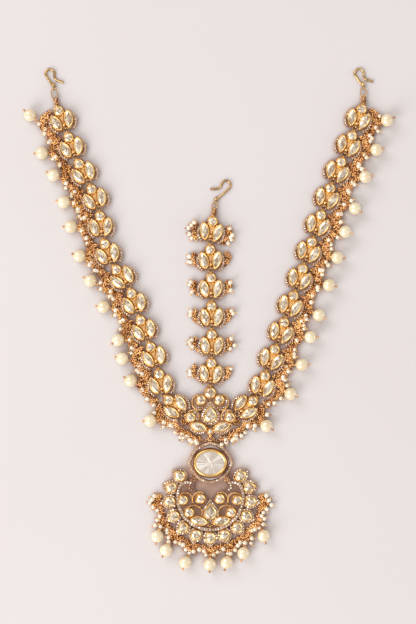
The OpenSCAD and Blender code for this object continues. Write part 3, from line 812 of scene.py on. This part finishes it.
PENDANT_CLUSTERS = ((1.9, 0, 1.5, 17), (1.5, 1.9, 1.3, 12), (1.5, -1.9, 1.3, 12), (0, 1.2, 1.0, 7),
                    (0, -1.2, 1.0, 7), (-0.5, 3.1, 1.15, 10), (-0.5, -3.1, 1.15, 10))
PLAQUE_CLUSTERS = ((1.9, 0.4, 1.3, 13), (1.5, 2.4, 1.2, 10), (1.9, -1.8, 1.3, 12), (1.4, -3.9, 1.2, 11),
                   (1.0, -5.9, 1.2, 11), (0.6, -7.8, 1.0, 8), (0.2, -2.5, 1.0, 7), (-0.4, -4.6, 1.0, 7),
                   (-1.0, -6.8, 1.1, 8), (-1.3, -8.7, 1.1, 8))
# Side seed pearls: the cluster each hangs from, then its own place, outward and up
SIDE_SEED_PEARLS = (((0.9, 3.7), 2.6, 4.4), ((0.8, -3.8), 3.3, -3.6), ((2.2, 0), 4.0, 2.1),
                    ((1.6, -1.7), 1.9, -1.9), ((-0.4, -5.7), 1.0, -6.4))
# Other seed pearls: outward and up
FIRST_SEED_PEARLS = ((1.6, -5.2), (2.9, -3.4))
PENDANT_SEED_PEARLS = ((3.2, 2.1), (3.3, -2.2), (1.5, 3.7), (1.4, -3.8), (4.4, 0.2))
PLAQUE_SEED_PEARLS = ((3.6, 2.4), (3.9, 0.2), (3.7, -2.2), (3.2, -4.4), (2.8, -6.6), (2.0, -8.8),
                      (2.4, 1.3), (2.2, -3.2), (1.8, -5.4))
# Directions of a centre bunch's seed pearls, and the share that is missing on each side
CENTRE_FAN = (-62, -22, 20, 64)
MISSING = {LEFT: 0.2, RIGHT: 0.5}
# Where a side pearl lies in the frame of its setting, roughly
SIDE_PEARL_AT = (13.8, -1.5)
# How far outside the tabs a bridge starts, and where the last one ends beside the plaque's tab
BRIDGE_OUT = 0.9
BRIDGE_END = (4.5, 3.2)


def bridge(beads, seeds, start, end, side, rng, pearls_at):
    """Beads and a seed pearl between two neighbouring bunches."""
    turn = math.degrees(math.atan2(end[1] - start[1], end[0] - start[0]))
    here = ((start[0] + end[0]) / 2, (start[1] + end[1]) / 2, turn)
    for out, up, r, n in BRIDGE_CLUSTERS:
        rosette(beads, here, side * out, up, r, rng, n)
    up, out = rng.uniform(-1.4, 1.4), rng.uniform(0.2, 1.6)
    seed_pearl(seeds, beads, here, (side * 0.2, 0), side * out, up, rng, tip=rng.random() < 0.6,
               keep_off=nearest(pearls_at, here))


def hanger_knots(beads, chain, rng):
    """Granules wrapped round the two small rings above a chain's first setting."""
    first_y = CHAINS[chain][0][1]
    rings = sorted(middles(chain + "_links"), key=lambda m: m[1])
    for x, y, _ in [m for m in rings if m[1] > first_y + CUP_R][:2]:
        knot(beads, x, y, rng)


def put_bunches(name, beads, seeds, pearls=None):
    beads.piece(name + "_seed_beads", "bead_gold", name + "_bunches")
    seeds.piece(name + "_seed_pearls", "pearl")
    if pearls is not None:
        pearls.piece(name + "_round_pearls", "pearl", name + "_pearls")


def side_bunches(chain, side):
    rng = random.Random(11 + side)
    beads, seeds, pearls = Build(), Build(), Build()
    spots = middles(chain + "_pearls")
    for place in CHAINS[chain]:
        here = (*on(place, side * TAB_AT[0], TAB_AT[1]), place[2] - 90 * side)
        near = nearest(spots, on(place, side * SIDE_PEARL_AT[0], SIDE_PEARL_AT[1]))
        round_pearl(pearls, beads, (*on(here, 0, HUB_REACH), LINK_Z), near, rng)
        rosettes(beads, here, SIDE_CLUSTERS, -side, rng)
        for start, out, up in SIDE_SEED_PEARLS:
            out, up = out + rng.uniform(-0.8, 0.7), up + rng.uniform(-0.9, 0.9)
            if rng.random() > 0.1:
                seed_pearl(seeds, beads, here, (start[0], -side * start[1]), out, -side * up, rng,
                           keep_off=near)
    tabs = [on(place, side * (TAB_AT[0] + BRIDGE_OUT), TAB_AT[1]) for place in CHAINS[chain]]
    tabs.append((side * (PLAQUE_TAB_AT[0] + BRIDGE_END[0]), PLAQUE_TAB_AT[1] + BRIDGE_END[1]))
    for start, end in zip(tabs, tabs[1:]):
        bridge(beads, seeds, start, end, side, rng, spots)
    hanger_knots(beads, chain, rng)
    put_bunches(chain, beads, seeds, pearls)


def centre_bunches():
    rng = random.Random(21)
    beads, seeds = Build(), Build()
    for i, place in enumerate(CHAINS["centre"]):
        for side in (LEFT, RIGHT):
            here = (*on(place, side * TAB_AT[0], TAB_AT[1]), place[2] - 90 * side)
            rosettes(beads, here, CENTRE_CLUSTERS + (FIRST_CLUSTERS if i == 0 else ()), -side, rng)
            for out, up in FIRST_SEED_PEARLS if i == 0 else ():
                seed_pearl(seeds, beads, here, (0.6, side * 3.6), out, -side * up, rng)
            for angle in CENTRE_FAN:
                if rng.random() < MISSING[side]:
                    continue
                a = math.radians(angle + rng.uniform(-16, 16))
                reach = rng.uniform(1.8, 2.9)
                out, up = 1.0 + reach * math.cos(a), reach * math.sin(a)
                seed_pearl(seeds, beads, here, (1.0, 0), out, up, rng)
    hanger_knots(beads, "centre", rng)
    put_bunches("centre", beads, seeds)


def round_crescent(r, turn):
    """Frame at a distance from the crescent's middle; a turn of 0 is straight down."""
    x, y = turned(0, r, 180 + turn)
    return CRESCENT_AT[0] + x, CRESCENT_AT[1] + y, 180 + turn


def petal_place(i, further=0.0):
    """Frame of a petal, counted from the lowest one, or further out."""
    return round_crescent(PETAL_RADII[abs(i)] + further, i * PETAL_STEP)


def pendant_bunches():
    rng = random.Random(31)
    beads, seeds, pearls = Build(), Build(), Build()
    spots = middles("pendant_pearls")
    for i in range(-4, 5):
        here = petal_place(i, PETAL_TAB_REACH)
        near = None
        if abs(i) <= 3:
            near = nearest(spots, round_crescent(PENDANT_PEARL_RADII[i + 3], PENDANT_PEARL_TURNS[i + 3]))
            round_pearl(pearls, beads, (*on(here, 0, HUB_REACH), LINK_Z), near, rng)
        rosettes(beads, here, PENDANT_CLUSTERS, RIGHT, rng)
        for out, up in PENDANT_SEED_PEARLS:
            out, up = out + rng.uniform(-0.8, 0.5), up + rng.uniform(-0.7, 0.7)
            seed_pearl(seeds, beads, here, (1.9, 0), out, up, rng, keep_off=near)
    put_bunches("pendant", beads, seeds, pearls)


def junction_bunches():
    rng = random.Random(41)
    beads, seeds = Build(), Build()
    for side in (LEFT, RIGHT):
        here = (side * PLAQUE_TAB_AT[0], PLAQUE_TAB_AT[1], side * PLAQUE_BUNCH_TURN)
        rosettes(beads, here, PLAQUE_CLUSTERS, side, rng)
        for out, up in PLAQUE_SEED_PEARLS:
            out, up = out + rng.uniform(-0.9, 0.5), up + rng.uniform(-0.7, 0.7)
            seed_pearl(seeds, beads, here, (1.3, side * up), out, side * up, rng)
    put_bunches("junction", beads, seeds)


side_bunches("left", LEFT)
side_bunches("right", RIGHT)
centre_bunches()
pendant_bunches()
junction_bunches()


# Plaque and pendant

# Low rims and borders: (outward, height) rows from the outside in
PLAQUE_DROP_RIM = [(0.05, PLATE_H), (0.05, 1.75), (-0.12, 1.95), (-0.3, 1.9), (-0.36, 1.5)]
PLAQUE_LEAF_RIM = [(0.06, PLATE_H), (0.08, 1.7), (-0.1, 1.95), (-0.3, 1.9), (-0.36, 1.5)]
OVAL_WALL = [(0.06, 1.2), (0.06, OVAL_TOP - 0.5)]
OVAL_RIM = [(0.06, OVAL_TOP - 0.5), (0.08, OVAL_TOP - 0.1), (-0.08, OVAL_TOP + 0.2),
            (-0.5, OVAL_TOP + 0.36), (-0.9, OVAL_TOP + 0.28), (-1.14, OVAL_TOP)]
LOZENGE_BORDERS = (([(0.04, 0.2), (0.06, 1.95), (-0.1, 2.25), (-0.3, 2.2)], ROPE),
                   ([(-0.25, 2.21), (-1.15, 2.21)], BEIGE_GROUND),
                   ([(-1.08, 2.2), (-1.14, 2.45), (-1.5, 2.45), (-1.56, 1.9)], DARK_BEAD),
                   ([(-1.54, 1.98), (-2.0, 1.92), (-3.6, 1.95)], LIGHT_GROUND))
BAND_PROFILE = [(0.62, 2.02), (0.5, 2.05), (-0.5, 2.05), (-0.62, 2.02)]
PETAL_RIM = [(0.04, 0.3), (0.06, 1.7), (-0.06, 1.86), (-0.22, 1.84), (-0.3, 1.55)]
PLAQUE_GRANULES = ((2.5, -5.2), (1.6, -6.2), (3.6, 3.2), (2.9, 8.4), (7.2, 3.0))
CRESCENT_GRANULES = ((0, -6.6), (0.9, -6.0), (-0.9, -6.0))
BEAD_Z = 2.05
# Rows of granules below the plaque's link: y and half width, and what each row adds
FAN_ROWS, FAN_Y, FAN_HALF, FAN_DOWN, FAN_WIDER = 5, -10.3, 0.55, 0.62, 0.8
# The foot of a petal lies under the crescent's band, so its tiny stones stop here
PETAL_FOOT = -2.4


def scroll(build, x, y, r, start, stop, bead, bead_z, wide, limit=math.inf):
    """Gold granules inside a half-round wire, both within a distance of the origin."""
    ring = [p for p in arc_points(x, y, r - 0.35, start, stop) if math.hypot(*p) < limit - 0.2]
    granules(build, spaced(ring, 0.74, closed=False), GOLD, bead, bead_z)
    edge = [p for p in arc_points(x, y, r - 0.02, start, stop) if math.hypot(*p) < limit]
    wire_edge(build, edge, ROPE, z=1.45, wide=wide)


def plaque_side(rng):
    """Cups, scrolls, marquise and side knot of the plaque's right half."""
    half = Build()
    for cup in (UPPER_CUP_AT, LOWER_CUP_AT):
        cup_rim(half, circle_outline(CUP_R), matrix(*cup))
    for x, y, r, start, stop in PLAQUE_SCROLLS:
        scroll(half, x, y, r, start, stop, bead=0.36, bead_z=1.95, wide=0.9)
        inside = arc_points(x, y, r - 1.1, start, stop)
        gems(half, spaced(inside, 0.95, closed=False), rng, r=0.4, z=1.25)
    cup_rim(half, leaf_outline(LEAF), matrix(*PLAQUE_LEAF_AT), collar=NARROW_COLLAR)
    rim = leaf_outline(PLAQUE_RIM)
    border = Build()
    border.add(sweep(rim, PLAQUE_LEAF_RIM), ROPE)
    gems(border, spaced(rim(-0.7)[LEFT_ARC], 0.88, closed=False, skip_ends=0.4), rng, r=0.43, z=1.6)
    granules(border, spaced(rim(0.0)[LEFT_ARC], 0.8, closed=False), COPPER, r=0.22, z=1.85)
    half.join(border, matrix(*PLAQUE_RIM_AT))
    granules(half, PLAQUE_GRANULES, GOLD, r=0.45, z=1.9)
    knot(half, *SIDE_KNOT_AT, rng, count=24, step=0.4, low=0.7, mats=(COPPER, GOLD, DARK_BEAD))
    return half


def junction_detail():
    rng = random.Random(51)
    build = Build()
    cup_rim(build, circle_outline(TOP_CUP_R), matrix(*TOP_CUP_AT))
    cup_rim(build, drop_outline(*DROP), matrix(*DROP_AT), collar=NARROW_COLLAR)
    cup_rim(build, circle_outline(BEAD_CUP_R), matrix(*BEAD_CUP_AT), top=2.2)
    outline = drop_outline(*PLAQUE_DROP)
    border = Build()
    gems(border, spaced(outline(-0.82), 1.25), rng, r=0.6, z=1.6)
    border.add(sweep(outline, PLAQUE_DROP_RIM), ROPE)
    granules(border, spaced(outline(-0.1), 0.62), COPPER, r=0.24, z=1.95)
    build.join(border, matrix(*DROP_AT))
    for side in (LEFT, RIGHT):
        build.join(plaque_side(rng), matrix(0, 0, flip=side < 0))
    build.piece("junction_rims", "gold")

    stones = Build()
    spots = [(matrix(*DROP_AT), drop_outline(*DROP, 9), DROP_RIDGE),
             (matrix(*TOP_CUP_AT, 10), circle_outline(TOP_CUP_R, 10), 0)]
    spots += mirrored_stones(np.eye(4), (UPPER_CUP_AT, LOWER_CUP_AT), PLAQUE_LEAF_AT, turn=25, step=40)
    for place, outline, ridge in spots:
        set_stone(stones, facet_stone(outline, HIGH_STONE_TOP, rng, ridge=ridge), place)
    stones.add(ball(BEAD_CUP_R - 0.25, around=14, up=9), TINY, shift((*BEAD_CUP_AT, BEAD_Z)))
    stones.piece("junction_cut_stones", "clear_stone", "junction_stones")


def oval_detail(build, rng):
    """Granules at the link, then the rims and borders round the large oval stone."""
    for x, y, _ in middles("pendant_link"):
        knot(build, x, y, rng, count=12, low=1.5)
    for k in range(FAN_ROWS):
        y, half = FAN_Y - FAN_DOWN * k, FAN_HALF + FAN_WIDER * k
        for x in np.linspace(-half, half, 3 + 2 * k).tolist():
            mat = rng.choice((ROPE, COPPER, GROUND))
            granules(build, [(x, y - 0.03 * x * x)], mat, rng.uniform(0.34, 0.44), z=0.9)
    part = Build()
    oval = oval_outline(OVAL_HALF)
    part.add(sweep(oval, OVAL_WALL), COPPER)
    part.add(sweep(oval, OVAL_RIM), GOLD)
    granules(part, spaced(oval(0.36), 0.9), DARK_BEAD, r=0.46, z=OVAL_TOP - 1.1)
    for profile, mat in LOZENGE_BORDERS:
        part.add(sweep(lozenge, profile), mat)
    granules(part, spaced(lozenge(-0.12), 0.95), ROPE, r=0.34, z=2.25)
    spots = spaced(lozenge(-0.72), 1.1)
    gems(part, spots[::3], rng, r=0.46, z=2.2)
    gems(part, spots[1::3] + spots[2::3], rng, r=0.48, z=2.2, mat=BEIGE_GROUND)
    build.join(part, matrix(*OVAL_AT))


def crescent_line(band_r, horn_r):
    """Line along the right half of the crescent's band and on round its horn."""
    band = arc_points(0, 0, band_r, BAND_FROM, HORN_FROM, 60)
    return band + arc_points(*HORN_AT, horn_r, HORN_FROM, HORN_TO, 30)[1:]


def crescent_half(rng):
    """Cups, band, horn and scrolls of the crescent's right half."""
    half = Build()
    for cup in INNER_CUPS:
        cup_rim(half, circle_outline(CUP_R), matrix(*cup))
    cup_rim(half, leaf_outline(LEAF), matrix(*CRESCENT_LEAF_AT))
    band = crescent_line(CRESCENT_R - BAND_W / 2, HORN_R - HORN_BAND / 2)
    half.add(strip(band, BAND_PROFILE), GROUND)
    gems(half, spaced(band, 1.3, closed=False, skip_ends=0.2), rng, r=0.6, z=2.05)
    for edge in (crescent_line(CRESCENT_R - 0.12, HORN_R - 0.08),
                 crescent_line(CRESCENT_R - BAND_W + 0.12, HORN_R - HORN_BAND + 0.08)):
        wire_edge(half, edge, ROPE, z=1.85, wide=0.7)
    for spot in CRESCENT_SCROLLS:
        scroll(half, *spot, bead=0.37, bead_z=1.9, wide=0.8, limit=SCROLL_LIMIT)
    granules(half, HORN_KNOT, COPPER, r=0.42, z=2.0)
    return half


def crescent_detail(build, rng):
    """Both halves of the crescent, the curls of its horns, and the teardrop in its middle."""
    centre = matrix(*CRESCENT_AT)
    half = crescent_half(rng)
    for flip in (False, True):
        build.join(half, centre @ matrix(0, 0, flip=flip))
    for x, y in HORN_CURL:
        for side, mat in ((LEFT, ROPE), (RIGHT, SEED_PEARL)):
            at = (CRESCENT_AT[0] + side * x, CRESCENT_AT[1] + y, 1.65)
            build.add(ball(0.5, around=10, up=7), mat, spin_matrix(rng, at))
    part = Build()
    cup_rim(part, drop_outline(*DROP), collar=NARROW_COLLAR)
    outline = drop_outline(CRESCENT_DROP_R, CRESCENT_DROP_R * DROP[1] / DROP[0])
    gems(part, spaced(outline(-0.5), 0.98), rng, r=0.48, z=1.78)
    granules(part, spaced(outline(-0.05), 0.6), ROPE, r=0.22, z=1.8)
    granules(part, CRESCENT_GRANULES, GOLD, r=0.45, z=1.9)
    build.join(part, centre @ matrix(*CRESCENT_DROP_AT))


def petal_detail(build, rng):
    plate = drop_outline(*PETAL_PLATE)
    for i in range(-6, 7):
        part = Build()
        cup_rim(part, drop_outline(*PETAL_CUP, 18), collar=NARROW_COLLAR)
        gems(part, [p for p in spaced(plate(-0.52), 1.25) if p[1] > PETAL_FOOT], rng, r=0.56, z=1.66)
        part.add(sweep(plate, PETAL_RIM), ROPE)
        build.join(part, matrix(*petal_place(i)))


def pendant_detail():
    rng = random.Random(61)
    build = Build()
    oval_detail(build, rng)
    crescent_detail(build, rng)
    petal_detail(build, rng)
    build.piece("pendant_rims", "gold")

    stones = Build()
    centre = matrix(*CRESCENT_AT)
    spots = [(centre @ matrix(*CRESCENT_DROP_AT), drop_outline(*DROP, 9), DROP_RIDGE)]
    spots += mirrored_stones(centre, INNER_CUPS, CRESCENT_LEAF_AT, turn=0, step=33)
    spots += [(matrix(*petal_place(i)), drop_outline(*PETAL_CUP, 8), PETAL_RIDGE) for i in range(-6, 7)]
    for place, outline, ridge in spots:
        set_stone(stones, facet_stone(outline, STONE_TOP, rng, ridge=ridge), place)
    stones.piece("pendant_cut_stones", "clear_stone", "pendant_stones")


# The large stone: shares of its half widths and heights, from the girdle to the flat middle
OVAL_INSET = 0.95
OVAL_PETALS = 22
OVAL_RINGS = ((1.0, 3.8), (0.86, 4.0), (0.55, 4.17), (0.16, 4.28))
OVAL_MIDDLE_Z = 4.3
OVAL_DIP = -0.11


def oval_stone():
    """Large oval stone: radial petals, each with two slopes, round a flat middle."""
    rng = random.Random(71)
    n = 2 * OVAL_PETALS
    half = (OVAL_HALF[0] - OVAL_INSET, OVAL_HALF[1] - OVAL_INSET)
    points = []
    for share, z in OVAL_RINGS:
        for i in range(n):
            a = TAU * i / n
            dip = OVAL_DIP if i % 2 and share < 1 else 0
            points.append((half[0] * share * math.cos(a), half[1] * share * math.sin(a), z + dip))
    points.append((0, 0, OVAL_MIDDLE_Z))
    # painted reflections: a random shade for each petal, darker on the outermost band
    petal_reflections = [rng.uniform(0.1, 1.0) for _ in range(n)]
    faces, shades = [], []
    for j in range(len(OVAL_RINGS) - 1):
        faces += band_faces(j * n, (j + 1) * n, n)
        shades += [tone * (1.0 if j else 0.7) for tone in petal_reflections]
    last = (len(OVAL_RINGS) - 1) * n
    faces += [[last + i, last + (i + 1) % n, len(points) - 1] for i in range(n)]
    build = Build()
    build.add((np.array(points), faces), LARGE, matrix(*OVAL_AT), smooth=False, shades=shades + petal_reflections)
    build.piece("oval_cut_stone", "clear_stone", "oval_stone")


junction_detail()
pendant_detail()
oval_stone()


# Solids that stay, with their own finish
kept = {"junction_setting": FRAME, "pendant_setting": PENDANT_FRAME, "pendant_link": LINKS}
for chain, places in CHAINS.items():
    kept |= {chain + "_hook": HOOK_GOLD, chain + "_links": LINKS}
    kept |= {f"{chain}_setting_{i + 1}": FRAME for i in range(len(places))}
for name, mat in kept.items():
    NODES[name].data.materials.clear()
    NODES[name].data.materials.append(mat)


# Floor, light and camera

FLOOR_HALF = 3000.0
FLOOR_DROP = 0.05
FLOOR_DARK, FLOOR_LIGHT = (0.712, 0.668, 0.669), (0.730, 0.688, 0.690)
# Painted contact shade on the floor close to the piece, brown like the metal: its colour, its reach, and
# the open shares between which it fades
PAINTED_SHADE_COLOUR = (0.42, 0.25, 0.18)
CONTACT_SHADE_REACH = 8.0
CONTACT_SHADE_FROM, CONTACT_SHADE_TO = 0.2, 0.74
# Painted shade inside the crescent: distances from its middle, and the least share of the floor's colour
SHADE_FROM, SHADE_TO = 11.0, 25.0
SHADE_LEAST = 0.12
# Lights: azimuth and elevation, distance, width and height in metres, watts
LIGHTS = {"key_low": (224, 30, 2.0, (1.35, 1.35), 27), "key_high": (136, 38, 2.2, (1.4, 1.4), 17),
          "fill": (0, 13, 2.4, (1.2, 0.8), 5)}
LIGHT_COLOUR = (0.97, 1.0, 1.02)
LIGHT_TARGET = (0.0, 0.05, 0.0)
# Colours of the sky from the horizon up
SKY = [(0.0, (0.36, 0.23, 0.15)), (0.18, (0.80, 0.70, 0.63)), (0.45, (1.0, 0.965, 0.935)),
       (0.72, (0.86, 0.82, 0.79)), (0.88, (0.60, 0.54, 0.50)), (0.97, (0.95, 0.91, 0.88))]
SKY_STRENGTH = 0.80
CAMERA_AT = (-1.1, 49.0, 832.0)


def floor():
    s = FLOOR_HALF * MM
    mesh = bpy.data.meshes.new("floor")
    mesh.from_pydata([(-s, -s, 0), (s, -s, 0), (s, s, 0), (-s, s, 0)], [], [[0, 1, 2, 3]])
    mat, tree, shader = material("floor_paper", FLOOR_LIGHT, roughness=0.85)
    colour = ramp(tree, noise(tree, scale=6.0, detail=2.0), [(0.3, FLOOR_DARK), (0.7, FLOOR_LIGHT)])
    # painted contact shade: the floor turns brown where the piece closes over it
    near = node(tree, "AmbientOcclusion", "AO", {"Distance": CONTACT_SHADE_REACH * MM}, samples=8)
    unshaded_share = spread(tree, near, 0, 1, CONTACT_SHADE_FROM, CONTACT_SHADE_TO)
    # and painted shade darkens it inside the crescent, most of all between the horns
    centre = (CRESCENT_AT[0] * MM, CRESCENT_AT[1] * MM, 0)
    ends = {0: node(tree, "NewGeometry", "Position"), 1: centre}
    reach = node(tree, "VectorMath", "Value", ends, operation="DISTANCE")
    lit_share = spread(tree, reach, SHADE_LEAST, 1, SHADE_FROM * MM, SHADE_TO * MM)
    both = node(tree, "Math", "Value", {0: unshaded_share, 1: lit_share}, operation="MULTIPLY")
    feed(tree, shader, {"Base Color": mix(tree, both, (*PAINTED_SHADE_COLOUR, 1), colour)})
    mesh.materials.append(mat)
    piece = add_object("floor", mesh)
    piece.location = (0, 0, -FLOOR_DROP * MM)


def area_light(name, azimuth, elevation, distance, size, power):
    data = bpy.data.lights.new(name, "AREA")
    data.shape = "RECTANGLE"
    data.size, data.size_y = size
    data.energy = power
    data.color = LIGHT_COLOUR
    a, e = math.radians(azimuth), math.radians(elevation)
    away = distance * np.array((math.cos(e) * math.cos(a), math.cos(e) * math.sin(a), math.sin(e)))
    lamp = add_object(name, data)
    lamp.location = np.array(LIGHT_TARGET) + away
    lamp.rotation_mode = "QUATERNION"
    lamp.rotation_quaternion = mathutils.Vector(-away).to_track_quat("-Z", "Y")


def sky():
    world = bpy.data.worlds.new("studio")
    world.use_nodes = True
    tree = world.node_tree
    height = node(tree, "SeparateXYZ", "Z", {"Vector": node(tree, "TexCoord", "Generated")})
    feed(tree, tree.nodes["Background"], {"Color": ramp(tree, height, SKY), "Strength": SKY_STRENGTH})
    bpy.context.scene.world = world


floor()
for name, settings in LIGHTS.items():
    area_light(name, *settings)
sky()
bpy.context.scene.view_settings.view_transform = "Standard"

camera_data = bpy.data.cameras.new("camera")
camera_data.lens = 100
camera_data.sensor_width = 36
camera_data.clip_end = 10
camera = add_object("camera", camera_data)
camera.location = [c * MM for c in CAMERA_AT]
bpy.context.scene.camera = camera
